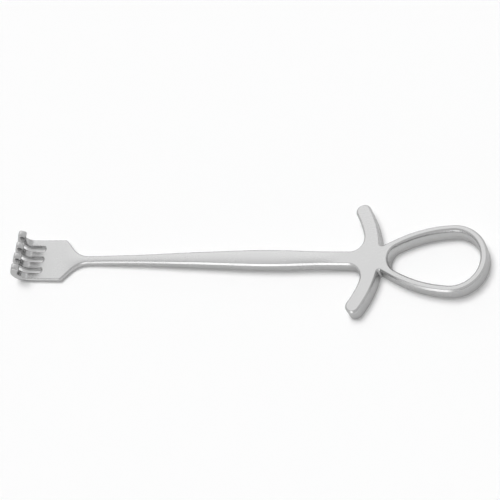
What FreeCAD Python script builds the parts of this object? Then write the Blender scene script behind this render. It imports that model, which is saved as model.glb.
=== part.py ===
import FreeCAD, Part
import math
import os
import re
from types import SimpleNamespace
import Sketcher
from FreeCAD import Placement, Rotation, Vector

# A hand-held rake retractor: four blunt hooked prongs on a slotted plate, a bevelled shank,
# a yoke with two curved finger rests, and a teardrop ring for one finger.
#
# The frame, in millimetres: the origin is on the flat underside of the yoke, on the middle line.
# +X runs to the ring, the rake lies towards -X, +Y is the far side, and +Z is up,
# the way the prongs point. Along the shank each place is a step on from the one before,
# so a change of one step carries everything beyond it along.

SIZES = (
    # The handle is one flat slab that holds the yoke, the rests and the ring
    ("handle_tall", 8.1, "height of the yoke, the rests and the ring"),
    ("edge_bevel", 1.0, "bevel along the outer edges of handle and shank"),
    ("hole_bevel", 1.0, "bevel along the edges of the finger hole"),
    # Teardrop ring
    ("yoke_reach", 3.4, "origin to the seam between yoke and ring"),
    ("ring_pitch", 20.7, "centre of the hole's nose to the centre of its big end"),
    ("hole_end_radius", 11.75, "finger hole, big end"),
    ("hole_nose_radius", 6.0, "finger hole, nose at the yoke"),
    ("hole_flank_radius", 52.6, "finger hole, bowed flanks"),
    ("ring_strip", 3.55, "thickness of the ring's strip"),
    ("nose_wall", 2.3, "wall between the hole's nose and the seam with the yoke"),
    # Finger rests, both on one bow
    ("rest_bow", 42.0, "radius of the bow along the middle of both rests"),
    ("rest_crown", 1.35, "how far towards the rake the bow crosses the middle line"),
    ("rest_wide", 6.6, "width of a rest seen from above"),
    ("rest_span", 50.2, "tip to tip over both rests"),
    ("yoke_hollow", 6.0, "radius of the hollow corner between shank and rest"),
    ("corner_hollow", 0.8, "radius of the inside corner between rest and ring"),
    # Shank, eight-sided sections at named places
    ("shank_place", 13.0, "origin to the seam between yoke and shank"),
    ("shank_wide", 6.4, "width at the seam with the yoke"),
    ("waist_step", 9.0, "seam to waist"),
    ("waist_wide", 6.35, "width at the waist"),
    ("waist_base", 0.7, "height of the underside at the waist"),
    ("belly_step", 22.0, "waist to widest place"),
    ("belly_wide", 7.65, "width at the widest place"),
    ("belly_base", 1.1, "height of the underside at the widest place"),
    ("middle_step", 38.0, "widest place to middle section"),
    ("middle_wide", 5.75, "width at the middle section"),
    ("middle_tall", 6.4, "height at the middle section"),
    ("middle_height", 4.65, "height of that section's middle"),
    ("fore_step", 26.0, "middle to forward section"),
    ("fore_wide", 4.15, "width at the forward section"),
    ("fore_tall", 5.1, "height at the forward section"),
    ("fore_height", 4.35, "height of that section's middle"),
    ("fore_bevel", 0.8, "bevel at the forward section and the neck"),
    ("neck_step", 22.0, "forward section to the seam between shank and rake plate"),
    ("neck_wide", 3.7, "width at the neck"),
    ("neck_tall", 4.4, "height at the neck"),
    # Rake plate
    ("rake_height", 4.1, "height of the plate's mid plane"),
    ("plate_wide", 19.6, "width over the outer prongs"),
    ("plate_thick", 3.0, "thickness of the plate"),
    ("plate_bevel", 0.5, "bevel along the edges of plate and prongs"),
    ("shoulder_step", 15.3, "that seam to the corner of the shoulders"),
    ("shoulder_round", 1.0, "rounding of that corner"),
    ("shoulder_slope", 47.5, "slope of the shoulders off the middle line, in degrees"),
    ("shoulder_hollow", 12.0, "radius of the hollow curve from shoulder to neck"),
    ("ridge_reach", 13.0, "how far the shank's ridge runs on over the plate"),
    ("ridge_wide", 6.0, "width of the ridge where it sinks into the plate"),
    ("ridge_sink", 0.2, "how far the ridge's end lies under the plate's faces"),
    ("slot_wide", 2.0, "width of a slot between prongs"),
    ("slot_pitch", 5.25, "slot to slot"),
    ("slot_step", 10.7, "corner of the shoulders to the centres of the slots' round ends"),
    # Prongs
    ("prong_step", 9.7, "slots' round ends to the front of the bend, along the middle of a prong"),
    ("prong_bend", 5.0, "radius of the bend along the middle of a prong"),
    ("prong_turn", 119.0, "how far a prong turns up and back, in degrees"),
    ("prong_end", 5.3, "straight end past the bend"),
    ("tip_wide", 3.4, "width at the tip"),
    ("tip_thick", 3.6, "thickness at the tip"),
    ("tip_bevel", 0.7, "bevel along the edges at the tip"),
    ("tip_round", 0.9, "rounding of the blunt tip"),
)

# Distances from the origin that follow from the steps
PLACES = (
    ("nose_place", "=yoke_reach + nose_wall + hole_nose_radius", "origin to the centre of the hole's nose"),
    ("ring_reach", "=nose_place + ring_pitch", "origin to the centre of the ring's big end"),
    ("waist_place", "=shank_place + waist_step", "origin to the waist"),
    ("belly_place", "=waist_place + belly_step", "origin to the widest place"),
    ("middle_place", "=belly_place + middle_step", "origin to the middle section"),
    ("fore_place", "=middle_place + fore_step", "origin to the forward section"),
    ("neck_place", "=fore_place + neck_step", "origin to the seam between shank and rake plate"),
    ("shoulder_place", "=neck_place + shoulder_step", "origin to the corner of the shoulders"),
    ("slot_place", "=shoulder_place + slot_step", "origin to the centres of the slots' round ends"),
    ("prong_reach", "=slot_place + prong_step", "origin to the front of a prong's bend"),
)

doc = FreeCAD.newDocument("rake_retractor")
sheet = doc.addObject("Spreadsheet::Sheet", "sizes")
for row, (alias, value, meaning) in enumerate(SIZES + PLACES, 1):
    sheet.set("A%d" % row, meaning)
    sheet.setAlias("B%d" % row, alias)
    sheet.set("B%d" % row, str(value))
doc.recompute()
at = SimpleNamespace(**{alias: float(sheet.get(alias)) for alias, _, _ in SIZES + PLACES})
bodies = []

ORIGIN = (-1, 1)
ACROSS = -1
UPRIGHT = -2
PARALLEL = 1 - 1e-9
NEAR = 1e-5


def new_body(name):
    """An empty body; its Label names its file."""
    body = doc.addObject("PartDesign::Body", name)
    body.Label = name
    bodies.append(body)
    return body


def new_sketch(body, name, role):
    """A sketch on one of the body's own origin planes."""
    sketch = body.newObject("Sketcher::SketchObject", name)
    own_plane = next(item for item in body.Origin.OriginFeatures if item.Role == role)
    sketch.AttachmentSupport = [(own_plane, "")]
    sketch.MapMode = "FlatFace"
    return sketch


def bind(thing, path, formula):
    """Binds a property to the sheet; in the formula the sheet's words stand bare."""
    full = re.sub("[a-z_]+", lambda word: ("sizes." if hasattr(at, word[0]) else "") + word[0], formula)
    thing.setExpression(path, full)


def drive_radius(sketch, piece, formula):
    """Fixes the radius of an arc."""
    radius = sketch.Geometry[piece].Radius
    index = sketch.addConstraint(Sketcher.Constraint("Radius", piece, radius))
    bind(sketch, "Constraints[%d]" % index, formula)


def drive_place(sketch, point, x=None, y=None):
    """Fixes a point's distances from the sketch's origin; 0 holds it on the axis."""
    spot = sketch.getPoint(*point)
    for word, formula, value, axis in (("X", x, spot.x, UPRIGHT), ("Y", y, spot.y, ACROSS)):
        if formula is None:
            continue
        if formula == "0":
            sketch.addConstraint(Sketcher.Constraint("PointOnObject", *point, axis))
            continue
        ends = ORIGIN + point if value > 0 else point + ORIGIN
        index = sketch.addConstraint(Sketcher.Constraint("Distance" + word, *ends, abs(value)))
        bind(sketch, "Constraints[%d]" % index, formula)


def place_section(sketch, along, height, tilt=None):
    """Moves a cross-section along X and up, and tilts it about its own middle."""
    if tilt:
        sketch.AttachmentOffset = Placement(Vector(), Rotation(Vector(1, 0, 0), 1))
        bind(sketch, ".AttachmentOffset.Rotation.Angle", tilt)
    bind(sketch, ".AttachmentOffset.Base.y", height)
    bind(sketch, ".AttachmentOffset.Base.z", along)


class Outline:
    """One run of lines and arcs in a sketch; neighbours that run on smoothly are held tangent."""

    def __init__(self, sketch, start):
        self.sketch = sketch
        self.here = start
        self.pieces = []

    def add(self, curve, ends, headings, goal):
        number = self.sketch.addGeometry(curve, False)
        self.pieces.append((number, ends, headings))
        self.here = goal
        return number

    def line(self, goal):
        """A straight piece to the goal."""
        heading = (goal - self.here).normalize()
        return self.add(Part.LineSegment(self.here, goal), (1, 2), (heading, heading), goal)

    def arc(self, centre, goal, turn):
        """An arc to the goal; turn is 1 for counterclockwise and -1 for clockwise."""
        spokes = (self.here - centre, goal - centre)
        angles = [math.atan2(spoke.y, spoke.x) for spoke in spokes]
        headings = [Vector(-spoke.y, spoke.x, 0).normalize() * turn for spoke in spokes]
        circle = Part.Circle(centre, Vector(0, 0, 1), spokes[0].Length)
        curve = Part.ArcOfCircle(circle, *angles[::turn])
        return self.add(curve, (1, 2)[::turn], headings, goal)

    def join(self, closed=True):
        """Ties every piece to the next, and the last to the first of a closed run."""
        following = self.pieces[1:] + (self.pieces[:1] if closed else [])
        for (one, ends, headings), (two, next_ends, next_headings) in zip(self.pieces, following):
            smooth = headings[1].dot(next_headings[0]) > PARALLEL
            kind = "Tangent" if smooth else "Coincident"
            self.sketch.addConstraint(Sketcher.Constraint(kind, one, ends[1], two, next_ends[0]))


def octagon(body, name, wide, tall, corner):
    """An eight-sided cross-section about its own middle, from formulas for its sides and corners."""
    sketch = new_sketch(body, name, "YZ_Plane")
    inner_wide = "(%s) / 2 - %s" % (wide, corner)
    inner_tall = "(%s) / 2 - %s" % (tall, corner)
    half_wide = "(%s) / 2" % wide
    half_tall = "(%s) / 2" % tall
    rough = ((1, 2), (-1, 2), (-2, 1), (-2, -1), (-1, -2), (1, -2), (2, -1), (2, 1))
    spots = [Vector(x, y, 0) for x, y in rough]
    outline = Outline(sketch, spots[0])
    for spot in spots[1:] + spots[:1]:
        outline.line(spot)
    outline.join()
    for number, (x, y) in enumerate(rough):
        drive_place(sketch, (number, 1), half_wide if abs(x) == 2 else inner_wide,
                    half_tall if abs(y) == 2 else inner_tall)
    return sketch


def pad(body, name, sketch, formula):
    """Raises a sketch by a height from the sheet."""
    feature = body.newObject("PartDesign::Pad", name)
    feature.Profile = sketch
    bind(feature, "Length", formula)
    doc.recompute()
    return feature


def loft(body, name, sections):
    """A smooth skin through cross-sections."""
    feature = body.newObject("PartDesign::AdditiveLoft", name)
    feature.Profile = sections[0]
    feature.Sections = sections[1:]
    doc.recompute()
    return feature


def bevel(body, name, base, sketch, pieces, formula):
    """Bevels the level edges that lie over or under some pieces of the sketch."""
    curves = [sketch.Geometry[number].toShape() for number in pieces]
    edges = []
    for number, edge in enumerate(base.Shape.Edges, 1):
        middle = edge.valueAt((edge.FirstParameter + edge.LastParameter) / 2)
        foot = Part.Vertex(middle.x, middle.y, 0)
        level = edge.BoundBox.ZLength < NEAR
        if level and min(curve.distToShape(foot)[0] for curve in curves) < NEAR:
            edges.append("Edge%d" % number)
    feature = body.newObject("PartDesign::Chamfer", name)
    feature.Base = (base, edges)
    bind(feature, "Size", formula)
    doc.recompute()
    return feature


def flipped(point, side=-1):
    """The point itself for side 1, and the point that answers it across the middle line for -1."""
    return Vector(point.x, point.y * side, 0)


def on_circle(centre, radius, towards):
    """Where the ray from the centre through another point crosses the circle."""
    return centre + (towards - centre).normalize() * radius


def centre_between(first, first_gap, second, second_gap, side):
    """The centre with given distances to two points; side 1 lies left of first to second."""
    apart = (second - first).Length
    ahead = (second - first).normalize()
    along = (first_gap ** 2 - second_gap ** 2 + apart ** 2) / (2 * apart)
    aside = math.sqrt(first_gap ** 2 - along ** 2)
    return first + ahead * along + Vector(-ahead.y, ahead.x, 0) * aside * side


# Places on the handle's far half, seen from above

ring_end = Vector(at.ring_reach, 0, 0)
ring_nose = Vector(at.nose_place, 0, 0)
flank = centre_between(ring_nose, at.hole_flank_radius - at.hole_nose_radius,
                       ring_end, at.hole_flank_radius - at.hole_end_radius, -1)
outer_flank_radius = at.hole_flank_radius + at.ring_strip
arm_start = on_circle(flank, outer_flank_radius, ring_nose)
arm_out = (arm_start - flank).normalize()
arm_ahead = Vector(arm_out.y, -arm_out.x, 0)
ring_seam = arm_start - arm_ahead * ((arm_start.x - at.yoke_reach) / arm_ahead.x)

bow = Vector(-at.rest_crown - at.rest_bow, 0, 0)
rest_outer = at.rest_bow + at.rest_wide / 2
rest_inner = at.rest_bow - at.rest_wide / 2
tip_y = (at.rest_span - at.rest_wide) / 2
rest_tip = bow + Vector(math.sqrt(at.rest_bow ** 2 - tip_y ** 2), tip_y, 0)

hollow_y = at.shank_wide / 2 + at.yoke_hollow
hollow_gap = rest_inner - at.yoke_hollow
hollow = bow + Vector(math.sqrt(hollow_gap ** 2 - hollow_y ** 2), hollow_y, 0)
rest_seam_inner = on_circle(bow, rest_inner, hollow)
rest_seam_outer = on_circle(bow, rest_outer, hollow)

corner_line = arm_start + arm_out * at.corner_hollow - bow
corner_back = corner_line.dot(arm_ahead)
corner_gap = rest_outer + at.corner_hollow
corner_run = math.sqrt(corner_back ** 2 - corner_line.dot(corner_line) + corner_gap ** 2)
corner = bow + corner_line + arm_ahead * (corner_run - corner_back)
corner_on_arm = corner - arm_out * at.corner_hollow
corner_on_rest = on_circle(bow, rest_outer, corner)


def make_ring():
    """The teardrop ring: a tall strip round one finger, closed by the nose wall at the yoke."""
    body = new_body("ring_handle")
    sketch = new_sketch(body, "ring_outline", "XY_Plane")
    outer = Outline(sketch, ring_seam)
    sides = [outer.line(arm_start)]
    flanks = [outer.arc(flank, on_circle(flank, outer_flank_radius, ring_end), -1)]
    end = outer.arc(ring_end, flipped(outer.here), -1)
    flanks.append(outer.arc(flipped(flank), flipped(arm_start), -1))
    sides.append(outer.line(flipped(ring_seam)))
    seam = outer.line(ring_seam)
    outer.join()
    drive_place(sketch, (end, 3), "ring_reach", "0")
    drive_radius(sketch, end, "hole_end_radius + ring_strip")
    for piece in flanks:
        drive_radius(sketch, piece, "hole_flank_radius + ring_strip")
    for point in (1, 2):
        drive_place(sketch, (seam, point), "yoke_reach")

    hole = Outline(sketch, on_circle(flank, at.hole_flank_radius, ring_nose))
    nose_turn = hole.here
    hole_flanks = [hole.arc(flank, on_circle(flank, at.hole_flank_radius, ring_end), -1)]
    hole_end = hole.arc(ring_end, flipped(hole.here), -1)
    hole_flanks.append(hole.arc(flipped(flank), flipped(nose_turn), -1))
    hole_nose = hole.arc(ring_nose, nose_turn, -1)
    hole.join()
    drive_place(sketch, (hole_end, 3), "ring_reach", "0")
    drive_radius(sketch, hole_end, "hole_end_radius")
    drive_place(sketch, (hole_nose, 3), "nose_place", "0")
    drive_radius(sketch, hole_nose, "hole_nose_radius")
    for piece in hole_flanks:
        drive_radius(sketch, piece, "hole_flank_radius")

    slab = pad(body, "ring_slab", sketch, "handle_tall")
    outside = bevel(body, "ring_bevel", slab, sketch, sides + flanks + [end], "edge_bevel")
    bevel(body, "hole_edge", outside, sketch, hole_flanks + [hole_end, hole_nose], "hole_bevel")


def make_yoke():
    """The flat hub between shank, rests and ring, with a hollow corner beside the shank."""
    body = new_body("yoke")
    sketch = new_sketch(body, "yoke_outline", "XY_Plane")
    shank_corner = Vector(-at.shank_place, at.shank_wide / 2, 0)
    outline = Outline(sketch, ring_seam)
    edges = [outline.line(corner_on_arm)]
    corners = [outline.arc(corner, corner_on_rest, -1)]
    walls = [outline.arc(bow, rest_seam_outer, 1)]
    outline.line(rest_seam_inner)
    hollows = [outline.arc(hollow, Vector(hollow.x, shank_corner.y, 0), -1)]
    flats = [outline.line(shank_corner)]
    shank_seam = outline.line(flipped(shank_corner))
    flats.append(outline.line(Vector(hollow.x, -shank_corner.y, 0)))
    hollows.append(outline.arc(flipped(hollow), flipped(rest_seam_inner), -1))
    outline.line(flipped(rest_seam_outer))
    walls.append(outline.arc(bow, flipped(corner_on_rest), 1))
    corners.append(outline.arc(flipped(corner), flipped(corner_on_arm), -1))
    edges.append(outline.line(flipped(ring_seam)))
    end_seam = outline.line(ring_seam)
    outline.join()
    for piece in corners:
        drive_radius(sketch, piece, "corner_hollow")
    for piece in walls:
        drive_place(sketch, (piece, 3), "rest_crown + rest_bow", "0")
        drive_radius(sketch, piece, "rest_bow + rest_wide / 2")
    for piece in hollows:
        drive_radius(sketch, piece, "yoke_hollow")
    for point in (1, 2):
        drive_place(sketch, (shank_seam, point), "shank_place", "shank_wide / 2")
        drive_place(sketch, (end_seam, point), "yoke_reach")

    slab = pad(body, "yoke_slab", sketch, "handle_tall")
    bevel(body, "yoke_bevel", slab, sketch, edges + corners + walls + hollows + flats, "edge_bevel")


def make_rest(name, side):
    """A curved finger rest with a round end; side is 1 for the far one and -1 for the near one."""
    body = new_body(name)
    sketch = new_sketch(body, name + "_outline", "XY_Plane")
    outline = Outline(sketch, flipped(rest_seam_inner, side))
    outline.line(flipped(rest_seam_outer, side))
    outer = outline.arc(bow, flipped(on_circle(bow, rest_outer, rest_tip), side), side)
    tip = outline.arc(flipped(rest_tip, side), flipped(on_circle(bow, rest_inner, rest_tip), side), side)
    inner = outline.arc(bow, flipped(rest_seam_inner, side), -side)
    outline.join()
    for piece, formula in ((outer, "rest_bow + rest_wide / 2"), (inner, "rest_bow - rest_wide / 2")):
        drive_place(sketch, (piece, 3), "rest_crown + rest_bow", "0")
        drive_radius(sketch, piece, formula)
    drive_place(sketch, (tip, 3), y="(rest_span - rest_wide) / 2")
    slab = pad(body, name + "_slab", sketch, "handle_tall")
    bevel(body, name + "_bevel", slab, sketch, [outer, tip, inner], "edge_bevel")


def make_shank():
    """The bar: full height at the yoke, widest at its belly, then down to a slim neck."""
    body = new_body("shank")
    stations = (
        ("seam", "shank_place", "shank_wide", "handle_tall", "handle_tall / 2", "edge_bevel"),
        ("waist", "waist_place", "waist_wide", "handle_tall - waist_base",
         "(handle_tall + waist_base) / 2", "edge_bevel"),
        ("belly", "belly_place", "belly_wide", "handle_tall - belly_base",
         "(handle_tall + belly_base) / 2", "edge_bevel"),
        ("middle", "middle_place", "middle_wide", "middle_tall", "middle_height", "edge_bevel"),
        ("fore", "fore_place", "fore_wide", "fore_tall", "fore_height", "fore_bevel"),
        ("neck", "neck_place", "neck_wide", "neck_tall", "rake_height", "fore_bevel"),
    )
    sections = []
    for name, place, wide, tall, height, corner_cut in stations:
        section = octagon(body, "shank_" + name, wide, tall, corner_cut)
        place_section(section, "0 - " + place, height)
        sections.append(section)
    loft(body, "shank_bar", sections)


def make_plate():
    """The slotted plate: a neck, two sloping shoulders, and three round-ended slots."""
    body = new_body("rake_plate")
    sketch = new_sketch(body, "plate_outline", "XY_Plane")
    bind(sketch, ".AttachmentOffset.Base.z", "rake_height - plate_thick / 2")
    slope = math.radians(at.shoulder_slope)
    uphill = Vector(-math.cos(slope), math.sin(slope), 0)
    outward = Vector(uphill.y, -uphill.x, 0)
    edge_y = at.plate_wide / 2
    sharp = Vector(-at.shoulder_place, edge_y, 0)
    shoulder = sharp - Vector(at.shoulder_round * math.tan(slope / 2), at.shoulder_round, 0)
    neck = Vector(-at.neck_place, at.neck_wide / 2, 0)
    dip_y = neck.y + at.shoulder_hollow
    dip_x = sharp.x + (at.shoulder_hollow - (dip_y - sharp.y) * outward.y) / outward.x
    dip = Vector(dip_x, dip_y, 0)

    outline = Outline(sketch, neck)
    necks = [outline.line(Vector(dip.x, neck.y, 0))]
    dips = [outline.arc(dip, dip - outward * at.shoulder_hollow, -1)]
    slopes = [outline.line(shoulder + outward * at.shoulder_round)]
    rounds = [outline.arc(shoulder, Vector(shoulder.x, edge_y, 0), 1)]
    edges = [outline.line(Vector(-at.slot_place, edge_y, 0))]
    slots = []
    roots = []
    for row in (1, 0, -1):
        middle = Vector(-at.slot_place, row * at.slot_pitch, 0)
        lip = Vector(0, at.slot_wide / 2, 0)
        roots.append(outline.line(middle + lip))
        slots.append(outline.arc(middle, middle - lip, -1))
    roots.append(outline.line(Vector(-at.slot_place, -edge_y, 0)))
    edges.append(outline.line(Vector(shoulder.x, -edge_y, 0)))
    rounds.append(outline.arc(flipped(shoulder), flipped(shoulder + outward * at.shoulder_round), 1))
    slopes.append(outline.line(flipped(dip - outward * at.shoulder_hollow)))
    dips.append(outline.arc(flipped(dip), Vector(dip.x, -neck.y, 0), -1))
    necks.append(outline.line(flipped(neck)))
    seam = outline.line(neck)
    outline.join()
    for point in (1, 2):
        drive_place(sketch, (seam, point), "neck_place", "neck_wide / 2")
    for piece in dips:
        drive_radius(sketch, piece, "shoulder_hollow")
    for piece in rounds:
        drive_radius(sketch, piece, "shoulder_round")
    for piece in slots:
        drive_radius(sketch, piece, "slot_wide / 2")
    for piece, row in zip(slots, ("slot_pitch", "0", "slot_pitch")):
        drive_place(sketch, (piece, 3), "slot_place", row)
    for root in roots:
        drive_place(sketch, (root, 1), "slot_place")
    drive_place(sketch, (edges[0], 2), y="plate_wide / 2")
    drive_place(sketch, (edges[1], 1), y="plate_wide / 2")

    slab = pad(body, "plate_slab", sketch, "plate_thick")
    bevel(body, "plate_edge", slab, sketch, necks + dips + slopes + rounds + edges + slots, "plate_bevel")
    start = octagon(body, "ridge_start", "neck_wide", "neck_tall", "fore_bevel")
    place_section(start, "0 - neck_place", "rake_height")
    finish = octagon(body, "ridge_finish", "ridge_wide", "plate_thick - 2 * ridge_sink", "plate_bevel")
    place_section(finish, "0 - neck_place - ridge_reach", "rake_height")
    loft(body, "plate_ridge", [start, finish])


def make_prong(name, offset, wide):
    """A blunt hook: straight out of the plate, round a bend, then up and back to its tip."""
    body = new_body(name)
    turn = math.radians(at.prong_turn)
    bend = Vector(at.prong_bend - at.prong_reach, at.rake_height + at.prong_bend, 0)
    bend_end = bend - Vector(math.sin(turn), math.cos(turn), 0) * at.prong_bend
    tip = bend_end + Vector(-math.cos(turn), math.sin(turn), 0) * at.prong_end

    spine = new_sketch(body, name + "_spine", "XZ_Plane")
    run = Outline(spine, Vector(-at.slot_place, at.rake_height, 0))
    level = run.line(Vector(bend.x, at.rake_height, 0))
    curve = run.arc(bend, bend_end, -1)
    end = run.line(tip)
    run.join(closed=False)
    drive_place(spine, (level, 1), "slot_place", "rake_height")
    drive_place(spine, (level, 2), "prong_reach - prong_bend", "rake_height")
    drive_radius(spine, curve, "prong_bend")
    length = spine.addConstraint(Sketcher.Constraint("Distance", end, at.prong_end))
    bind(spine, "Constraints[%d]" % length, "prong_end")

    root_section = octagon(body, name + "_root", wide, "plate_thick", "plate_bevel")
    place_section(root_section, "0 - slot_place", "rake_height")
    tip_section = octagon(body, name + "_tip", "tip_wide", "tip_thick", "tip_bevel")
    place_section(
        tip_section,
        "prong_bend - prong_reach - prong_bend * sin(prong_turn) - prong_end * cos(prong_turn)",
        "rake_height + prong_bend - prong_bend * cos(prong_turn) + prong_end * sin(prong_turn)",
        "prong_turn")
    hook = body.newObject("PartDesign::AdditivePipe", name + "_hook")
    hook.Profile = root_section
    hook.Spine = (spine, [])
    hook.Sections = [tip_section]
    hook.Transformation = "Multisection"
    doc.recompute()

    middle = Vector(tip.x, 0, tip.y)
    blunt = min(hook.Shape.Faces, key=lambda face: face.CenterOfMass.distanceToPoint(middle))
    edges = ["Edge%d" % number for number, edge in enumerate(hook.Shape.Edges, 1)
             if any(edge.isSame(rim) for rim in blunt.Edges)]
    rounding = body.newObject("PartDesign::Fillet", name + "_blunting")
    rounding.Base = (hook, edges)
    bind(rounding, "Radius", "tip_round")
    bind(body, ".Placement.Base.y", offset)


OUTER_MIDDLE = "(plate_wide / 2 + slot_pitch + slot_wide / 2) / 2"
OUTER_WIDE = "plate_wide / 2 - slot_pitch - slot_wide / 2"

make_plate()
make_prong("prong_far_outer", OUTER_MIDDLE, OUTER_WIDE)
make_prong("prong_far_inner", "slot_pitch / 2", "slot_pitch - slot_wide")
make_prong("prong_near_inner", "0 - slot_pitch / 2", "slot_pitch - slot_wide")
make_prong("prong_near_outer", "0 - " + OUTER_MIDDLE, OUTER_WIDE)
make_shank()
make_yoke()
make_rest("finger_rest_far", 1)
make_rest("finger_rest_near", -1)
make_ring()
doc.recompute()

for thing in doc.Objects:
    if "Invalid" in thing.State or "Error" in thing.State:
        raise RuntimeError("%s did not compute: %s" % (thing.Label, thing.State))
for body in bodies:
    if body.Shape.isNull() or not body.Shape.isValid() or len(body.Shape.Solids) != 1:
        raise RuntimeError("%s is not one sound solid" % body.Label)

os.makedirs("parts", exist_ok=True)
for body in bodies:
    body.Shape.exportStep("parts/%s.step" % body.Label)
    box = body.Shape.BoundBox
    print("%-17s volume %8.1f  X %.2f %.2f  Y %.2f %.2f  Z %.2f %.2f" % (
        body.Label, body.Shape.Volume, box.XMin, box.XMax, box.YMin, box.YMax, box.ZMin, box.ZMax))
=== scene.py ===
import cmath
import math

import bpy
import numpy as np
from mathutils import Matrix, Vector


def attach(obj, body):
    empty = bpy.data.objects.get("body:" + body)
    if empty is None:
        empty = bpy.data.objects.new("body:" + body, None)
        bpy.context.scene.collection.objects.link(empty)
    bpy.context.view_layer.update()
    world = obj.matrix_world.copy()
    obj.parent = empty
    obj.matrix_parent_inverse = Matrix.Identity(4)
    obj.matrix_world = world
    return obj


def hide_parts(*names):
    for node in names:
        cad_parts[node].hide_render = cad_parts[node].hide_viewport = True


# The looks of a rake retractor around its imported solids. Plan places are complex numbers,
# X and Y in millimetres, in the same frame as the solids; meshes are made in metres.

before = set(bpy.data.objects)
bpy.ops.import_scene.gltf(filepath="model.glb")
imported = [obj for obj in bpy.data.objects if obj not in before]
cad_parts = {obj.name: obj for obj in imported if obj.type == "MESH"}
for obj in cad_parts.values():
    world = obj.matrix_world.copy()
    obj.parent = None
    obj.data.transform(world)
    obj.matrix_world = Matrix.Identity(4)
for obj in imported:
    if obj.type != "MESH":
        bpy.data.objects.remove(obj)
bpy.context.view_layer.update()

MM = 0.001
UP = (0.0, 0.0, 1.0)
DOWN = (0.0, 0.0, -1.0)

# Sizes of the solids; the four prongs reach a little less far, each by its own amount
HANDLE_TALL = 8.1
YOKE_REACH = 3.4
HOLE_NOSE = 11.7
HOLE_END = 32.4
HOLE_NOSE_RADIUS = 6.0
HOLE_END_RADIUS = 11.75
HOLE_FLANK_RADIUS = 52.6
RING_STRIP = 3.55
REST_BOW = 42.0
REST_CROWN = 1.35
REST_WIDE = 6.6
REST_SPAN = 50.2
YOKE_HOLLOW = 6.0
CORNER_HOLLOW = 0.8
SHANK_START = -13.0
SHANK_HALF_WIDE = 3.2
NECK = -130.0
NECK_HALF_WIDE = 1.85
RAKE_HEIGHT = 4.1
PLATE_HALF_WIDE = 9.8
PLATE_HALF_THICK = 1.5
PLATE_BEVEL = 0.5
PLATE_INSET = 0.36
SHOULDER = -145.3
SHOULDER_ROUND = 1.0
SHOULDER_SLOPE = math.radians(47.5)
SHOULDER_HOLLOW = 12.0
PLATE_LEVEL = -147.0
SLOT_ROOT = -156.0
SLOT_PITCH = 5.25
SLOT_RADIUS = 1.0
PRONG_REACHES = (-165.3, -165.35, -165.55, -165.65)
PRONG_BEND = 5.0
PRONG_TURN = math.radians(119)
PRONG_END = 5.3
TIP_HALF_WIDE = 1.7
TIP_HALF_THICK = 1.8
TIP_BEVEL = 0.7
TIP_ROUND = 1.25

# How the grinding leaves the edges: insets and drops of their bevels, and how far they are rounded
EDGE_INSET = 0.7
EDGE_DROP = 1.0
EDGE_BASE = 0.8
PRONG_LEAN = 0.72
SOFT = 0.3
PLATE_SOFT = 0.9
HOLE_ROLL = 1.25
FLANK_ROLL = 0.6
ROLL_DROP = 3.4
HOLE_BASE = 0.5
CROWN_SLOPE = math.tan(math.radians(9))
CROWN_RADIUS = 200.0
CROWN_SHARES = (1.0, 0.6, 0.2, -0.2, -0.6, -1.0)

# How finely the meshes are made
SAME = 1e-4
MOST_REACH = 0.49
SOFT_STEPS = 4
ROLL_STEPS = 10
ARC_STEP = math.radians(4)
SHANK_STEPS = 110
NECK_STEPS = 44
BEND_STEPS = 22
STRAIGHT_SHARES = (0.0, 0.34, 0.67)
END_SHARES = (0.75, 0.5)
TIP_ANGLES = (15, 30, 45, 60, 75, 88)
MOST_BEVEL = 0.6


def unit(number):
    return number / abs(number)


def soften(corners, radii, closed=False):
    """A line through corners, each rounded; gives (point, facing) pairs, material on the left."""
    count = len(corners)
    if isinstance(radii, float):
        radii = [radii] * count
    steps = []
    if not closed:
        steps.append((corners[0], unit(corners[1] - corners[0]) * -1j))
    for number in range(count) if closed else range(1, count - 1):
        corner = corners[number]
        before = corner - corners[number - 1]
        after = corners[(number + 1) % count] - corner
        turn = cmath.phase(after / before)
        lean = max(abs(math.tan(turn / 2)), 1e-6)
        reach = min(radii[number] * lean, abs(before) * MOST_REACH, abs(after) * MOST_REACH)
        bulge = math.copysign(reach / lean, turn)
        facing = unit(before) * -1j
        middle = corner - unit(before) * reach - facing * bulge
        for step in range(SOFT_STEPS + 1):
            spoke = facing * cmath.exp(1j * turn * step / SOFT_STEPS)
            steps.append((middle + spoke * bulge, spoke))
    if not closed:
        steps.append((corners[-1], unit(corners[-1] - corners[-2]) * -1j))
    return steps


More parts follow.
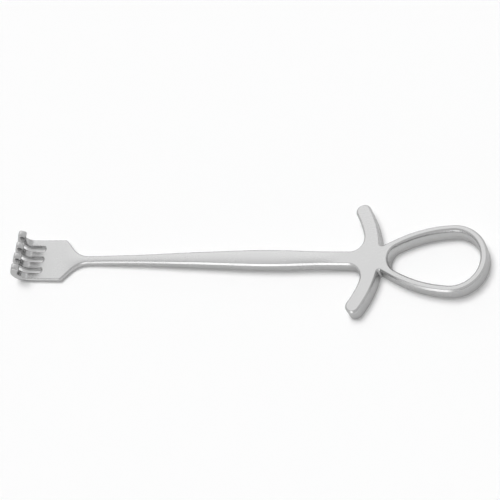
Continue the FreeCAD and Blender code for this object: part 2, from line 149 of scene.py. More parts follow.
class Skin:
    """A closed mesh with its own shading normals and a grain map, lengthwise by crosswise."""

    def __init__(self, name, node):
        self.name = name
        self.node = node
        self.spots = []
        self.known = {}
        self.faces = []
        self.normals = []
        self.grain = []

    def spot(self, x, y, z):
        """The index of a vertex; a second one at the same place is the same vertex."""
        key = (round(x, 4) + 0.0, round(y, 4) + 0.0, round(z, 4) + 0.0)
        if key not in self.known:
            self.known[key] = len(self.spots)
            self.spots.append((x, y, z))
        return self.known[key]

    def face(self, corners):
        """Adds a face from (index, normal, grain) corners, turned to look the way its normals do."""
        corners = [corner for number, corner in enumerate(corners) if corner[0] != corners[number - 1][0]]
        if len(corners) < 3:
            return
        spots = [Vector(self.spots[index]) for index, _, _ in corners]
        area = Vector()
        for one, two in zip(spots, spots[1:] + spots[:1]):
            area += one.cross(two)
        if area.length < 1e-9:
            return
        facing = Vector()
        for _, normal, _ in corners:
            facing += Vector(normal)
        if area.dot(facing) < 0:
            corners = corners[::-1]
        self.faces.append([index for index, _, _ in corners])
        self.normals.extend(normal for _, normal, _ in corners)
        self.grain.extend(grain for _, _, grain in corners)

    def flat(self, indices, normal):
        """A level face or a cap; its grain runs along X."""
        corners = []
        for index in indices:
            x, y, z = self.spots[index]
            corners.append((index, normal, (x, y + z)))
        self.face(corners)

    def strip(self, rows):
        """Faces between neighbouring rows of (index, normal, grain) corners."""
        for row, following in zip(rows, rows[1:]):
            for one in range(len(row) - 1):
                self.face([row[one], row[one + 1], following[one + 1], following[one]])

    def make(self, material):
        mesh = bpy.data.meshes.new(self.name)
        spots = [(x * MM, y * MM, z * MM) for x, y, z in self.spots]
        mesh.from_pydata(spots, [], self.faces)
        grain = mesh.uv_layers.new(name="grain")
        grain.data.foreach_set("uv", np.array(self.grain, np.float32).ravel())
        mesh.polygons.foreach_set("use_smooth", [True] * len(mesh.polygons))
        mesh.normals_split_custom_set([tuple(normal) for normal in self.normals])
        mesh.materials.append(material)
        piece = bpy.data.objects.new(self.name, mesh)
        bpy.context.scene.collection.objects.link(piece)
        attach(piece, "root")
        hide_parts(self.node)
        return piece


class Path:
    """A free edge in plan: places, outward normals, and the way an inset slides at each."""

    def __init__(self):
        self.places = []
        self.normals = []
        self.slides = []

    def add(self, place, normal):
        if self.places and abs(self.places[-1] - place) < 1e-6:
            return
        self.places.append(place)
        self.normals.append(normal)
        self.slides.append(normal)

    def arc(self, centre, start, goal, turn, hollow=False):
        """An arc from start to goal; turn is 1 for counterclockwise and -1 for clockwise."""
        sweep = cmath.phase((goal - centre) / (start - centre))
        if sweep * turn < 0:
            sweep += turn * math.tau
        count = max(2, math.ceil(abs(sweep) / ARC_STEP))
        for step in range(count + 1):
            spoke = (start - centre) * cmath.exp(1j * sweep * step / count)
            self.add(centre + spoke, unit(spoke) * (-1 if hollow else 1))

    def seam(self, end):
        """Lets the insets at one end slide along a seam that crosses X."""
        self.slides[end] = 1j / self.normals[end].imag

    def mirrored(self):
        other = Path()
        other.places = [place.conjugate() for place in self.places]
        other.normals = [normal.conjugate() for normal in self.normals]
        other.slides = [slide.conjugate() for slide in self.slides]
        return other

    def rows(self, skin, sections):
        """Sweeps an edge section along the path; sections gives the section for each place."""
        made = []
        along = 0.0
        for number, place in enumerate(self.places):
            if number:
                along += abs(place - self.places[number - 1])
            row = []
            down = 0.0
            last = None
            for point, facing in sections(place):
                spot = place - self.slides[number] * point.real
                index = skin.spot(spot.real, spot.imag, point.imag)
                outward = self.normals[number] * -facing.real
                down += 0.0 if last is None else abs(point - last)
                last = point
                row.append((index, (outward.real, outward.imag, facing.imag), (along, down)))
            made.append(row)
        return made


def edge(low, high, inset, drop, base, soft):
    """The section of an edge from the upper flat down to the lower one, as inset and height."""
    corners = [complex(inset + 2 * soft, high), complex(inset, high), complex(0, high - drop),
               complex(0, low + base), complex(base, low), complex(base + 2 * soft, low)]
    return soften(corners, soft)[1:-1]


def rolled_edge(low, high, inset, drop, base, soft):
    """The section of an edge with an upper side that rolls over into the wall."""
    steps = []
    for step in range(ROLL_STEPS + 1):
        turn = math.pi / 2 * step / ROLL_STEPS
        point = complex(inset * (1 - math.sin(turn)), high - drop * (1 - math.cos(turn)))
        steps.append((point, unit(complex(-math.sin(turn) / inset, math.cos(turn) / drop))))
    corners = [complex(0, high - drop), complex(0, low + base),
               complex(base, low), complex(base + 2 * soft, low)]
    return steps + soften(corners, soft)[1:-1]


def tops(rows):
    return [row[0][0] for row in rows]


def bottoms(rows):
    return [row[-1][0] for row in rows]


def indices(row):
    return [corner[0] for corner in row]


def cap(skin, one, other, normal):
    """Closes a seam between the ends of two strips, or of one strip's two ends."""
    skin.flat(indices(one) + indices(other)[::-1], normal)


def centre_between(first, first_gap, second, second_gap, side):
    """The place with given distances to two others; side 1 lies left of first to second."""
    apart = abs(second - first)
    along = (first_gap ** 2 - second_gap ** 2 + apart ** 2) / (2 * apart)
    aside = math.sqrt(first_gap ** 2 - along ** 2)
    return first + unit(second - first) * complex(along, aside * side)


# Places on the far half of the handle
nose = complex(HOLE_NOSE, 0)
end = complex(HOLE_END, 0)
flank = centre_between(nose, HOLE_FLANK_RADIUS - HOLE_NOSE_RADIUS,
                       end, HOLE_FLANK_RADIUS - HOLE_END_RADIUS, -1)
flank_outer = HOLE_FLANK_RADIUS + RING_STRIP
nose_way = unit(nose - flank)
end_way = unit(end - flank)
arm_start = flank + nose_way * flank_outer
arm_ahead = nose_way * -1j
ring_seam = arm_start - arm_ahead * ((arm_start.real - YOKE_REACH) / arm_ahead.real)
bow = complex(-REST_CROWN - REST_BOW, 0)
rest_outer = REST_BOW + REST_WIDE / 2
rest_inner = REST_BOW - REST_WIDE / 2
tip_y = (REST_SPAN - REST_WIDE) / 2
rest_tip = bow + complex(math.sqrt(REST_BOW ** 2 - tip_y ** 2), tip_y)
hollow_y = SHANK_HALF_WIDE + YOKE_HOLLOW
hollow = bow + complex(math.sqrt((rest_inner - YOKE_HOLLOW) ** 2 - hollow_y ** 2), hollow_y)
seam_way = unit(hollow - bow)
corner_line = arm_start + nose_way * CORNER_HOLLOW - bow
corner_back = (corner_line * arm_ahead.conjugate()).real
corner_gap = rest_outer + CORNER_HOLLOW
corner_run = math.sqrt(corner_back ** 2 - abs(corner_line) ** 2 + corner_gap ** 2)
corner = bow + corner_line + arm_ahead * (corner_run - corner_back)


def outer_section(place):
    return edge(0, HANDLE_TALL, EDGE_INSET, EDGE_DROP, EDGE_BASE, SOFT)


def hole_section(place):
    """Round the hole the upper edge rolls over softly, most of all along the flanks."""
    inset = HOLE_ROLL + FLANK_ROLL * (place.imag / HOLE_END_RADIUS) ** 2
    return rolled_edge(0, HANDLE_TALL, inset, ROLL_DROP, HOLE_BASE, SOFT)


def make_ring(material):
    """The teardrop ring: an outer and an inner edge, with level strips between them."""
    skin = Skin("teardrop_ring", "ring_handle")
    outer = Path()
    outer.add(ring_seam, nose_way)
    outer.arc(flank, arm_start, flank + end_way * flank_outer, -1)
    outer_end = end + end_way * (HOLE_END_RADIUS + RING_STRIP)
    outer.arc(end, outer_end, outer_end.conjugate(), -1)
    outer.arc(flank.conjugate(), (flank + end_way * flank_outer).conjugate(), arm_start.conjugate(), -1)
    outer.add(ring_seam.conjugate(), nose_way.conjugate())
    outer.seam(0)
    outer.seam(-1)
    hole = Path()
    hole_start = flank + nose_way * HOLE_FLANK_RADIUS
    hole_end = end + end_way * HOLE_END_RADIUS
    hole.arc(flank, hole_start, flank + end_way * HOLE_FLANK_RADIUS, -1, hollow=True)
    hole.arc(end, hole_end, hole_end.conjugate(), -1, hollow=True)
    hole.arc(flank.conjugate(), (flank + end_way * HOLE_FLANK_RADIUS).conjugate(),
             hole_start.conjugate(), -1, hollow=True)
    matched = len(hole.places)
    hole.arc(nose, hole_start.conjugate(), hole_start, -1, hollow=True)
    hole.places.pop()
    hole.normals.pop()
    hole.slides.pop()
    outside = outer.rows(skin, outer_section)
    inside = hole.rows(skin, hole_section)
    skin.strip(outside)
    last_place, first_place = hole.places[-1], hole.places[0]
    whole = inside[-1][0][2][0] + abs(first_place - last_place)
    closing = [(index, normal, (whole, down)) for index, normal, (_, down) in inside[0]]
    skin.strip(inside + [closing])
    for pick, normal in ((tops, UP), (bottoms, DOWN)):
        rim = pick(outside)
        well = pick(inside)
        for number in range(matched - 1):
            skin.flat([rim[number + 1], rim[number + 2], well[number + 1], well[number]], normal)
        nose_well = well[matched - 1:] + well[:1]
        skin.flat([rim[-1], rim[-2]] + nose_well + [rim[1], rim[0]], normal)
    cap(skin, outside[0], outside[-1], (-1, 0, 0))
    return skin.make(material)


def make_yoke(material):
    """The flat hub: four free edges between its seams with ring, rests and shank."""
    skin = Skin("yoke_hub", "yoke")
    armpit = Path()
    armpit.add(ring_seam, nose_way)
    armpit.arc(corner, corner - nose_way * CORNER_HOLLOW,
               bow + unit(corner - bow) * rest_outer, -1, hollow=True)
    armpit.arc(bow, armpit.places[-1], bow + seam_way * rest_outer, 1)
    armpit.seam(0)
    side = Path()
    side.arc(hollow, bow + seam_way * rest_inner, complex(hollow.real, SHANK_HALF_WIDE), -1, hollow=True)
    side.add(complex(SHANK_START, SHANK_HALF_WIDE), 1j)
    strips = [path.rows(skin, outer_section)
              for path in (armpit, side, side.mirrored(), armpit.mirrored())]
    far_armpit, far_side, near_side, near_armpit = strips
    for rows in strips:
        skin.strip(rows)
    for pick, normal in ((tops, UP), (bottoms, DOWN)):
        skin.flat(pick(far_armpit) + pick(far_side) + pick(near_side)[::-1]
                  + pick(near_armpit)[::-1], normal)
    cap(skin, far_armpit[0], near_armpit[0], (1, 0, 0))
    cap(skin, far_side[-1], near_side[-1], (-1, 0, 0))
    across = seam_way * 1j
    cap(skin, far_armpit[-1], far_side[0], (across.real, across.imag, 0))
    cap(skin, near_armpit[-1], near_side[0], (across.real, -across.imag, 0))
    return skin.make(material)


def make_rest(name, node, far, material):
    """A curved finger rest: one free edge round its tip."""
    skin = Skin(name, node)
    path = Path()
    tip_way = unit(rest_tip - bow)
    path.arc(bow, bow + seam_way * rest_outer, bow + tip_way * rest_outer, 1)
    path.arc(rest_tip, bow + tip_way * rest_outer, bow + tip_way * rest_inner, 1)
    path.arc(bow, bow + tip_way * rest_inner, bow + seam_way * rest_inner, -1, hollow=True)
    if not far:
        path = path.mirrored()
    rows = path.rows(skin, outer_section)
    skin.strip(rows)
    skin.flat(tops(rows), UP)
    skin.flat(bottoms(rows), DOWN)
    across = seam_way * -1j
    cap(skin, rows[0], rows[-1], (across.real, across.imag if far else -across.imag, 0))
    return skin.make(material)


def glide(places, values):
    """A smooth curve through values at rising places, level at both ends."""
    slopes = np.gradient(values, places)
    slopes[0] = 0
    slopes[-1] = 0

    def at(place):
        number = int(np.clip(np.searchsorted(places, place) - 1, 0, len(places) - 2))
        span = places[number + 1] - places[number]
        share = (place - places[number]) / span
        share = min(max(share, 0.0), 1.0)
        rest = 1 - share
        return (values[number] * (1 + 2 * share) * rest ** 2
                + values[number + 1] * (3 - 2 * share) * share ** 2
                + slopes[number] * span * share * rest ** 2
                - slopes[number + 1] * span * rest * share ** 2)

    return at


def along_bar(*values):
    """A smooth curve through one value for each of the bar's places."""
    return glide(BAR_PLACES, np.array(values))


# The bar from the plate to the yoke, by X. Its upper edges have an inset and a drop, its lower
# ones a plain bevel; the crown is a share of the full slope. The middle is lifted a little.
BAR_PLACES = np.array([PLATE_LEVEL, -139.0, NECK, -108.0, -82.0, -44.0, -22.0, SHANK_START])
bar_half_wide = glide(BAR_PLACES[2:], np.array([NECK_HALF_WIDE, 2.075, 2.875, 3.825, 3.175, SHANK_HALF_WIDE]))
bar_low = along_bar(2.6, 2.3, 1.9, 1.9, 1.7, 1.4, 0.9, 0.0)
bar_high = along_bar(5.6, 5.85, 6.4, 7.2, 8.25, 8.5, 8.35, HANDLE_TALL)
bar_inset = along_bar(PLATE_INSET, 0.5, 0.6, 0.65, EDGE_INSET, EDGE_INSET, EDGE_INSET, EDGE_INSET)
bar_drop = along_bar(PLATE_BEVEL, 0.75, 0.9, 0.95, EDGE_DROP, EDGE_DROP, EDGE_DROP, EDGE_DROP)
bar_base = along_bar(PLATE_BEVEL, 0.7, 0.9, 0.9, EDGE_BASE, EDGE_BASE, EDGE_BASE, EDGE_BASE)
bar_soft = along_bar(PLATE_SOFT, 0.8, 0.7, 0.6, 0.4, SOFT, SOFT, SOFT)
bar_crown = along_bar(0.0, 0.6, 1.0, 1.0, 1.0, 1.0, 1.0, 0.0)


def plate_half_wide(x):
    """Half width of the plate at X, and how fast it widens away from the shank."""
    uphill = cmath.exp(1j * (math.pi - SHOULDER_SLOPE))
    outward = uphill * -1j
    shoulder = complex(SHOULDER - SHOULDER_ROUND * math.tan(SHOULDER_SLOPE / 2),
                       PLATE_HALF_WIDE - SHOULDER_ROUND)
    dip_y = NECK_HALF_WIDE + SHOULDER_HOLLOW
    dip_x = SHOULDER + (SHOULDER_HOLLOW - (dip_y - PLATE_HALF_WIDE) * outward.imag) / outward.real
    slope_start = complex(dip_x, dip_y) - outward * SHOULDER_HOLLOW
    slope_end = shoulder + outward * SHOULDER_ROUND
    if x >= dip_x:
        return NECK_HALF_WIDE, 0.0
    if x >= slope_start.real:
        drop = math.sqrt(SHOULDER_HOLLOW ** 2 - (x - dip_x) ** 2)
        return dip_y - drop, (dip_x - x) / drop
    if x >= slope_end.real:
        steep = math.tan(SHOULDER_SLOPE)
        return slope_start.imag + (slope_start.real - x) * steep, steep
    if x >= shoulder.real:
        rise = math.sqrt(SHOULDER_ROUND ** 2 - (x - shoulder.real) ** 2)
        return shoulder.imag + rise, (x - shoulder.real) / rise
    return PLATE_HALF_WIDE, 0.0


def bar_section(x):
    """The section at X with bevelled edges and a crowned top, as (Y and height, facing) pairs."""
    widening = 0.0
    half_wide = bar_half_wide(x)
    if x < NECK:
        half_wide, widening = plate_half_wide(x)
    low, high, drop, base, soft = bar_low(x), bar_high(x), bar_drop(x), bar_base(x), bar_soft(x)
    widened = math.hypot(1, widening)
    brow = half_wide - bar_inset(x) * widened
    keel = half_wide - base * widened
    crown = bar_crown(x) * CROWN_SLOPE * brow / 2
    side_top = high - crown - drop
    corners = [complex(keel, low), complex(half_wide, low + base), complex(half_wide, side_top)]
    radii = [soft] * 3
    for share in CROWN_SHARES:
        corners.append(complex(brow * share, high - crown * share ** 2))
        radii.append(soft if abs(share) == 1 else CROWN_RADIUS)
    corners += [complex(-half_wide, side_top), complex(-half_wide, low + base), complex(-keel, low)]
    radii += [soft] * 3
    return soften(corners, radii, closed=True)


def sweep(skin, rings, alongs):
    """Faces over rings of (spot, crosswise facing) pairs; returns the rows of vertex corners."""
    spots = np.array([[spot for spot, _ in ring] for ring in rings])
    facings = np.array([[facing for _, facing in ring] for ring in rings])
    ways = np.gradient(spots, alongs, axis=0)
    lengths = np.linalg.norm(ways, axis=2, keepdims=True)
    ways /= np.maximum(lengths, 1e-9)
    normals = facings - ways * np.sum(facings * ways, axis=2, keepdims=True)
    normals /= np.linalg.norm(normals, axis=2, keepdims=True)
    steps = np.linalg.norm(np.diff(spots, axis=1), axis=2)
    rows = []
    for number, ring in enumerate(spots):
        row = []
        around = 0.0
        for place, spot in enumerate(ring):
            if place:
                around += steps[number][place - 1]
            row.append((skin.spot(*spot), tuple(normals[number][place]), (alongs[number], around)))
        index, normal, (along, _) = row[0]
        row.append((index, normal, (along, around + np.linalg.norm(ring[0] - ring[-1]))))
        rows.append(row)
    skin.strip(rows)
    return rows


def bar_ring(x):
    """The section at X as places and facings in space."""
    ring = []
    for point, facing in bar_section(x):
        ring.append(((x, point.real, point.imag), (0.0, facing.real, facing.imag)))
    return ring


def make_shank(material):
    """The waisted bar from the neck to the yoke, swept along X."""
    skin = Skin("shank_bar", "shank")
    places = np.linspace(SHANK_START, NECK, SHANK_STEPS + 1)
    rows = sweep(skin, [bar_ring(x) for x in places], -places)
    skin.flat(indices(rows[0])[:-1], (1, 0, 0))
    skin.flat(indices(rows[-1])[:-1], (-1, 0, 0))
    return skin.make(material)


def make_plate(material):
    """The plate: a swept front from the neck over the shoulders, then a slab with three slots."""
    skin = Skin("slotted_plate", "rake_plate")
    places = np.linspace(NECK, PLATE_LEVEL, NECK_STEPS + 1)
    rows = sweep(skin, [bar_ring(x) for x in places], -places)
    skin.flat(indices(rows[0])[:-1], (1, 0, 0))
    low = RAKE_HEIGHT - PLATE_HALF_THICK
    high = RAKE_HEIGHT + PLATE_HALF_THICK

    def section(place):
        return edge(low, high, PLATE_INSET, PLATE_BEVEL, PLATE_BEVEL, PLATE_SOFT)

    far = Path()
    far.add(complex(PLATE_LEVEL, PLATE_HALF_WIDE), 1j)
    far.add(complex(SLOT_ROOT, PLATE_HALF_WIDE), 1j)
    strips = [far.rows(skin, section)]
    for row in (1, 0, -1):
        middle = complex(SLOT_ROOT, row * SLOT_PITCH)
        slot = Path()
        slot.arc(middle, middle + 1j * SLOT_RADIUS, middle - 1j * SLOT_RADIUS, -1, hollow=True)
        strips.append(slot.rows(skin, section))
    near = Path()
    near.add(complex(SLOT_ROOT, -PLATE_HALF_WIDE), -1j)
    near.add(complex(PLATE_LEVEL, -PLATE_HALF_WIDE), -1j)
    strips.append(near.rows(skin, section))
    for strip in strips:
        skin.strip(strip)
    # The slab's top has to meet every corner along the top of the swept front's end
    brow = [index for index in indices(rows[-1])[:-1] if skin.spots[index][2] > high - SAME]
    for pick, normal, seam in ((tops, UP, brow[::-1]), (bottoms, DOWN, [])):
        skin.flat(sum((pick(strip) for strip in strips), []) + seam, normal)
    for one, other in zip(strips, strips[1:]):
        cap(skin, one[-1], other[0], (-1, 0, 0))
    return skin.make(material)


def make_prong(name, node, reach, middle, half_wide, material):
    """A blunt hook: straight from the plate, round its bend, then up and back to its tip."""
    skin = Skin(name, node)
    bend = complex(reach + PRONG_BEND, RAKE_HEIGHT + PRONG_BEND)
    straight = bend.real - SLOT_ROOT
    lengths = [-straight * share for share in STRAIGHT_SHARES]
    turn_length = PRONG_BEND * PRONG_TURN
    lengths += [-straight + turn_length * step / BEND_STEPS for step in range(BEND_STEPS + 1)]
    whole = -straight + turn_length + PRONG_END
    lengths += [whole - PRONG_END * share for share in END_SHARES]
    lengths.append(whole - TIP_ROUND)
    rings = []
    alongs = []
    rounding = [TIP_ROUND * math.sin(math.radians(angle)) for angle in TIP_ANGLES]
    for length in lengths + [whole - TIP_ROUND + step for step in rounding]:
        past = max(length - (whole - TIP_ROUND), 0.0)
        shrink = TIP_ROUND - math.sqrt(TIP_ROUND ** 2 - past ** 2)
        turned = min(max((length + straight) / PRONG_BEND, 0.0), PRONG_TURN)
        if length < -straight:
            centre = complex(SLOT_ROOT - length, RAKE_HEIGHT)
        else:
            centre = bend + PRONG_BEND * cmath.exp(-1j * (math.pi / 2 + turned))
            centre += max(length + straight - turn_length, 0.0) * cmath.exp(1j * (math.pi - turned))
        share = length / whole
        ease = share * share * (3 - 2 * share)
        wide = half_wide + (TIP_HALF_WIDE - half_wide) * ease - shrink
        thick = PLATE_HALF_THICK + (TIP_HALF_THICK - PLATE_HALF_THICK) * ease - shrink
        bevel = PLATE_BEVEL + (TIP_BEVEL - PLATE_BEVEL) * ease
        bevel = min(bevel, wide * MOST_BEVEL, thick * MOST_BEVEL)
        side = wide - bevel * PRONG_LEAN
        corners = [complex(side, -thick), complex(wide, bevel - thick), complex(wide, thick - bevel),
                   complex(side, thick), complex(-side, thick), complex(-wide, thick - bevel),
                   complex(-wide, bevel - thick), complex(-side, -thick)]
        rise = cmath.exp(1j * (math.pi / 2 - turned))
        tilt = math.asin(min(past / TIP_ROUND, 1.0))
        ahead = rise * 1j
        ring = []
        for point, facing in soften(corners, PLATE_SOFT, closed=True):
            spot = centre + rise * point.imag
            out = rise * facing.imag * math.cos(tilt) + ahead * math.sin(tilt)
            ring.append(((spot.real, middle + point.real, spot.imag),
                         (out.real, facing.real * math.cos(tilt), out.imag)))
        rings.append(ring)
        alongs.append(length)
    rows = sweep(skin, rings, np.array(alongs))
    skin.flat(indices(rows[0])[:-1], (1, 0, 0))
    face_way = cmath.exp(1j * (math.pi - PRONG_TURN))
    skin.flat(indices(rows[-1])[:-1], (face_way.real, 0, face_way.imag))
    return skin.make(material)


# Steel
STEEL_DARK = (0.45, 0.45, 0.45)
STEEL_LIGHT = (0.51, 0.51, 0.51)
STEEL_EDGE_TINT = (0.75, 0.75, 0.75)
STEEL_ROUGHNESS = 0.26
ROUGHNESS_SPREAD = 0.04
LINES_STRETCH = (0.22, 7.0, 1.0)
LINES_DETAIL = 4.0
LINES_ROUGHNESS = 0.65
LINES_SHARE = 0.45
CLOUDS_SCALE = 90.0
CLOUDS_DETAIL = 3.0
CLOUDS_SHARE = 0.55
FACTOR_LOW = 0.3
FACTOR_HIGH = 0.7
RELIEF_STRENGTH = 0.25
RELIEF_DEPTH = 0.02


def steel_material(name):
    """Satin stainless steel with fine lengthwise grinding lines and faint clouds."""
    material = bpy.data.materials.new(name)
    material.use_nodes = True
    nodes = material.node_tree.nodes
    links = material.node_tree.links
    shader = nodes["Principled BSDF"]
    shader.inputs["Metallic"].default_value = 1.0
    shader.inputs["Specular Tint"].default_value = (*STEEL_EDGE_TINT, 1)

    grain = nodes.new("ShaderNodeUVMap")
    grain.uv_map = "grain"
    stretch = nodes.new("ShaderNodeMapping")
    stretch.inputs["Scale"].default_value = LINES_STRETCH
    links.new(grain.outputs["UV"], stretch.inputs["Vector"])
    lines = nodes.new("ShaderNodeTexNoise")
    lines.inputs["Scale"].default_value = 1.0
    lines.inputs["Detail"].default_value = LINES_DETAIL
    lines.inputs["Roughness"].default_value = LINES_ROUGHNESS
    links.new(stretch.outputs["Vector"], lines.inputs["Vector"])

    place = nodes.new("ShaderNodeTexCoord")
    clouds = nodes.new("ShaderNodeTexNoise")
    clouds.inputs["Scale"].default_value = CLOUDS_SCALE
    clouds.inputs["Detail"].default_value = CLOUDS_DETAIL
    links.new(place.outputs["Object"], clouds.inputs["Vector"])

    tone = nodes.new("ShaderNodeMix")
    tone.data_type = "RGBA"
    tone.inputs["A"].default_value = (*STEEL_DARK, 1)
    tone.inputs["B"].default_value = (*STEEL_LIGHT, 1)
    both = nodes.new("ShaderNodeMath")
    both.operation = "MULTIPLY_ADD"
    both.inputs[1].default_value = LINES_SHARE
    links.new(lines.outputs["Fac"], both.inputs[0])
    cloudy = nodes.new("ShaderNodeMath")
    cloudy.operation = "MULTIPLY"
    cloudy.inputs[1].default_value = CLOUDS_SHARE
    links.new(clouds.outputs["Fac"], cloudy.inputs[0])
    links.new(cloudy.outputs[0], both.inputs[2])
    links.new(both.outputs[0], tone.inputs["Factor"])
    links.new(tone.outputs["Result"], shader.inputs["Base Color"])

    matt = nodes.new("ShaderNodeMapRange")
    matt.inputs["From Min"].default_value = FACTOR_LOW
    matt.inputs["From Max"].default_value = FACTOR_HIGH
    matt.inputs["To Min"].default_value = STEEL_ROUGHNESS - ROUGHNESS_SPREAD
    matt.inputs["To Max"].default_value = STEEL_ROUGHNESS + ROUGHNESS_SPREAD
    links.new(both.outputs[0], matt.inputs["Value"])
    links.new(matt.outputs["Result"], shader.inputs["Roughness"])

    relief = nodes.new("ShaderNodeBump")
    relief.inputs["Strength"].default_value = RELIEF_STRENGTH
    relief.inputs["Distance"].default_value = RELIEF_DEPTH * MM
    links.new(lines.outputs["Fac"], relief.inputs["Height"])
    links.new(relief.outputs["Normal"], shader.inputs["Normal"])
    return material


steel = steel_material("satin_steel")
make_ring(steel)
make_yoke(steel)
make_rest("far_finger_rest", "finger_rest_far", True, steel)
make_rest("near_finger_rest", "finger_rest_near", False, steel)
make_shank(steel)
make_plate(steel)
outer_middle = (PLATE_HALF_WIDE + SLOT_PITCH + SLOT_RADIUS) / 2
outer_half_wide = (PLATE_HALF_WIDE - SLOT_PITCH - SLOT_RADIUS) / 2
inner_middle = SLOT_PITCH / 2
inner_half_wide = SLOT_PITCH / 2 - SLOT_RADIUS
prongs = (("far_outer", outer_middle, outer_half_wide), ("far_inner", inner_middle, inner_half_wide),
          ("near_inner", -inner_middle, inner_half_wide), ("near_outer", -outer_middle, outer_half_wide))
for prong_reach, (which, middle, half_wide) in zip(PRONG_REACHES, prongs):
    make_prong(which + "_hook", "prong_" + which, prong_reach, middle, half_wide, steel)

# Camera
CAMERA_AZIMUTH = math.radians(39.719)
CAMERA_ELEVATION = math.radians(59.255)
CAMERA_ROLL = math.radians(-35.585)
CAMERA_TARGET = Vector((-57.40, 5.117, 4.518)) * MM
CAMERA_DISTANCE = 731.84 * MM
CAMERA_SENSOR = 36.0
CAMERA_LENS = 121.41

back = Vector((math.sin(CAMERA_AZIMUTH) * math.cos(CAMERA_ELEVATION),
               -math.cos(CAMERA_AZIMUTH) * math.cos(CAMERA_ELEVATION),
               math.sin(CAMERA_ELEVATION)))
level = Vector((math.cos(CAMERA_AZIMUTH), math.sin(CAMERA_AZIMUTH), 0))
rise = back.cross(level)
right = level * math.cos(CAMERA_ROLL) + rise * math.sin(CAMERA_ROLL)
up = rise * math.cos(CAMERA_ROLL) - level * math.sin(CAMERA_ROLL)
camera_data = bpy.data.cameras.new("camera")
camera_data.sensor_width = CAMERA_SENSOR
camera_data.lens = CAMERA_LENS
camera_data.clip_start = 0.01
camera = bpy.data.objects.new("camera", camera_data)
camera.matrix_world = Matrix.LocRotScale(
    CAMERA_TARGET + back * CAMERA_DISTANCE,
    Matrix((right, up, back)).transposed(),
    None)
bpy.context.scene.collection.objects.link(camera)
bpy.context.scene.camera = camera

# Light and floor
FLOOR_SIZE = 6.0
FLOOR_COLOUR = (0.95, 0.95, 0.95)
FLOOR_ROUGHNESS = 0.9
FLOOR_GLOW = 0.20
TENT_LEVEL = 0.80
TENT_SHARE = 0.30
TOP_WAY = (-0.25, 0.70, 0.67)
TOP_LEVEL = 0.74
TOP_REACH = math.radians(50)
STRIP_WAY = (-0.33, -0.94, 0.03)
STRIP_LEVEL = 2.4
STRIP_REACH = math.radians(19)
KEY_WAY = (-0.10, 0.15, 0.97)
KEY_POWER = 2.34
KEY_ANGLE = math.radians(28)

# Floor, tilted so that it touches the rests' rake-side edge and the underside of the rake
REST_CONTACT = Vector((-9.4, 0, 0)) * MM
RAKE_CONTACT = Vector((-160.0, 0, 2.52)) * MM
floor_tilt = math.atan2(RAKE_CONTACT.z - REST_CONTACT.z, REST_CONTACT.x - RAKE_CONTACT.x)
bpy.ops.mesh.primitive_plane_add(size=FLOOR_SIZE)
floor = bpy.context.object
floor.name = "floor"
floor.rotation_euler = (0, floor_tilt, 0)
floor.location = REST_CONTACT
floor_material = bpy.data.materials.new("floor_white")
floor_material.use_nodes = True
floor_nodes = floor_material.node_tree.nodes
floor_links = floor_material.node_tree.links
floor_shader = floor_nodes["Principled BSDF"]
floor_shader.inputs["Base Color"].default_value = (*FLOOR_COLOUR, 1)
floor_shader.inputs["Roughness"].default_value = FLOOR_ROUGHNESS
floor_shader.inputs["Specular IOR Level"].default_value = 0.0
ray = floor_nodes.new("ShaderNodeLightPath")
seen = floor_nodes.new("ShaderNodeMath")
seen.operation = "MAXIMUM"
floor_links.new(ray.outputs["Is Camera Ray"], seen.inputs[0])
floor_links.new(ray.outputs["Is Glossy Ray"], seen.inputs[1])
seen_too = floor_nodes.new("ShaderNodeMath")
seen_too.operation = "MAXIMUM"
floor_links.new(seen.outputs[0], seen_too.inputs[0])
floor_links.new(ray.outputs["Is Transmission Ray"], seen_too.inputs[1])
share = floor_nodes.new("ShaderNodeMath")
share.operation = "MULTIPLY"
share.inputs[1].default_value = FLOOR_GLOW
floor_links.new(seen_too.outputs[0], share.inputs[0])
glow = floor_nodes.new("ShaderNodeEmission")
blend = floor_nodes.new("ShaderNodeMixShader")
floor_links.new(share.outputs[0], blend.inputs["Fac"])
floor_links.new(floor_shader.outputs["BSDF"], blend.inputs[1])
floor_links.new(glow.outputs["Emission"], blend.inputs[2])
floor_links.new(blend.outputs["Shader"], floor_nodes["Material Output"].inputs["Surface"])
floor.data.materials.append(floor_material)


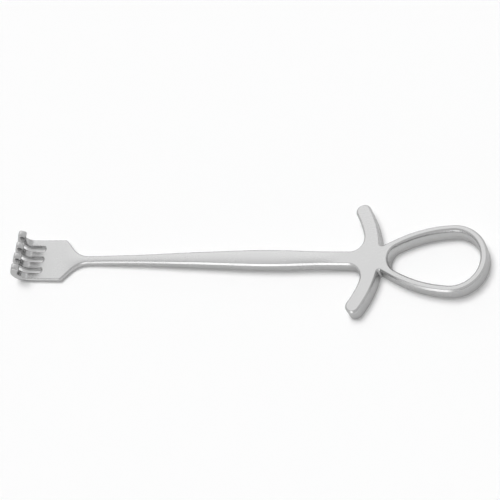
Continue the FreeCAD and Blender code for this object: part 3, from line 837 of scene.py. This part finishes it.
def studio_world():
    """A tent of even soft light with two brighter panels: high on the far side, low on the near side."""
    world = bpy.data.worlds.new("studio")
    bpy.context.scene.world = world
    world.use_nodes = True
    nodes = world.node_tree.nodes
    links = world.node_tree.links
    way = nodes.new("ShaderNodeTexCoord")
    strength = None
    panels = ((TOP_WAY, TOP_LEVEL, TOP_REACH), (STRIP_WAY, STRIP_LEVEL, STRIP_REACH))
    for direction, level, reach in panels:
        towards = nodes.new("ShaderNodeVectorMath")
        towards.operation = "DOT_PRODUCT"
        towards.inputs[1].default_value = Vector(direction).normalized()
        links.new(way.outputs["Generated"], towards.inputs[0])
        panel = nodes.new("ShaderNodeMapRange")
        panel.interpolation_type = "SMOOTHSTEP"
        panel.inputs["From Min"].default_value = math.cos(reach)
        panel.inputs["From Max"].default_value = 1.0
        panel.inputs["To Min"].default_value = 0.0
        panel.inputs["To Max"].default_value = level
        links.new(towards.outputs["Value"], panel.inputs["Value"])
        total = nodes.new("ShaderNodeMath")
        total.operation = "ADD"
        total.inputs[1].default_value = TENT_LEVEL
        if strength is not None:
            links.new(strength, total.inputs[1])
        links.new(panel.outputs["Result"], total.inputs[0])
        strength = total.outputs[0]
    ray = nodes.new("ShaderNodeLightPath")
    dimmed = nodes.new("ShaderNodeMapRange")
    dimmed.inputs["To Min"].default_value = 1.0
    dimmed.inputs["To Max"].default_value = TENT_SHARE
    links.new(ray.outputs["Is Diffuse Ray"], dimmed.inputs["Value"])
    kept = nodes.new("ShaderNodeMath")
    kept.operation = "MULTIPLY"
    links.new(strength, kept.inputs[0])
    links.new(dimmed.outputs["Result"], kept.inputs[1])
    links.new(kept.outputs[0], nodes["Background"].inputs["Strength"])
    nodes["Background"].inputs["Color"].default_value = (1, 1, 1, 1)


studio_world()
sun_data = bpy.data.lights.new("key", "SUN")
sun_data.energy = KEY_POWER
sun_data.angle = KEY_ANGLE
sun = bpy.data.objects.new("key", sun_data)
sun.rotation_euler = Vector(KEY_WAY).to_track_quat("Z", "Y").to_euler()
sun.visible_glossy = False
bpy.context.scene.collection.objects.link(sun)

bpy.context.scene.view_settings.view_transform = "Standard"
